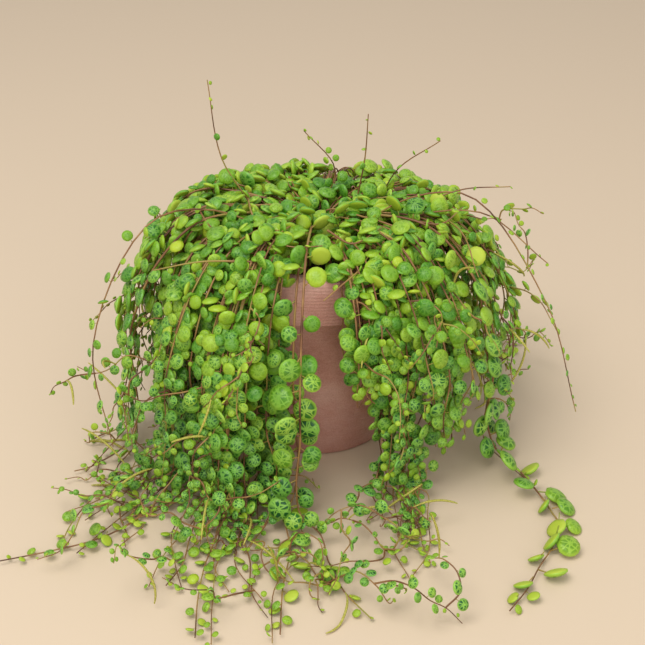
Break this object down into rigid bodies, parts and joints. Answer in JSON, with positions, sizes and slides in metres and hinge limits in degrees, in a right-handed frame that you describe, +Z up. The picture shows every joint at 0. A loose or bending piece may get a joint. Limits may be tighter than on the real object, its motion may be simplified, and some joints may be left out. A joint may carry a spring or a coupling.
{
  "type": "potted trailing peperomia",
  "caption": "Trailing peperomia with small round leaves in a tapered clay pot, its stems hanging over the rim and lying on the surface.",
  "frame": {"origin": "middle of the pot's flat underside, on the pot's axis", "axes": "+Z up along the pot's axis, -Y towards the viewer, where the stems lie furthest out, +X to the viewer's right"},
  "size_m": [0.2804, 0.3042, 0.192],
  "materials": {
    "fired_clay": "matte, unglazed",
    "potting_soil": "matte, crumbly",
    "leafy_stem": "semi-gloss leaf",
    "young_shoot": "satin stem"
  },
  "bodies": {
    "root": {"arching_shoot_01": "young_shoot", "arching_shoot_02": "young_shoot", "arching_shoot_03": "young_shoot", "pot": "fired_clay", "potting_soil": "potting_soil", "trailing_stem_01": "leafy_stem", "trailing_stem_02": "leafy_stem", "trailing_stem_03": "leafy_stem", "trailing_stem_04": "leafy_stem", "trailing_stem_05": "leafy_stem", "trailing_stem_06": "leafy_stem", "trailing_stem_07": "leafy_stem", "trailing_stem_08": "leafy_stem", "trailing_stem_09": "leafy_stem", "trailing_stem_10": "leafy_stem", "trailing_stem_11": "leafy_stem", "trailing_stem_12": "leafy_stem", "trailing_stem_13": "leafy_stem", "trailing_stem_14": "leafy_stem", "trailing_stem_15": "leafy_stem", "trailing_stem_16": "leafy_stem", "trailing_stem_17": "leafy_stem", "trailing_stem_18": "leafy_stem", "trailing_stem_19": "leafy_stem", "trailing_stem_20": "leafy_stem", "trailing_stem_21": "leafy_stem", "trailing_stem_22": "leafy_stem", "trailing_stem_23": "leafy_stem", "trailing_stem_24": "leafy_stem", "trailing_stem_25": "leafy_stem", "trailing_stem_26": "leafy_stem", "trailing_stem_27": "leafy_stem", "trailing_stem_28": "leafy_stem", "trailing_stem_29": "leafy_stem", "trailing_stem_30": "leafy_stem", "trailing_stem_31": "leafy_stem", "trailing_stem_32": "leafy_stem", "trailing_stem_33": "leafy_stem", "trailing_stem_34": "leafy_stem", "trailing_stem_35": "leafy_stem", "trailing_stem_36": "leafy_stem", "trailing_stem_37": "leafy_stem", "trailing_stem_38": "leafy_stem", "trailing_stem_39": "leafy_stem", "trailing_stem_40": "leafy_stem", "trailing_stem_41": "leafy_stem", "trailing_stem_42": "leafy_stem", "trailing_stem_43": "leafy_stem", "upright_shoot_01": "young_shoot", "upright_shoot_02": "young_shoot", "upright_shoot_03": "young_shoot", "upright_shoot_04": "young_shoot", "upright_shoot_05": "young_shoot"}
  },
  "joints": []
}
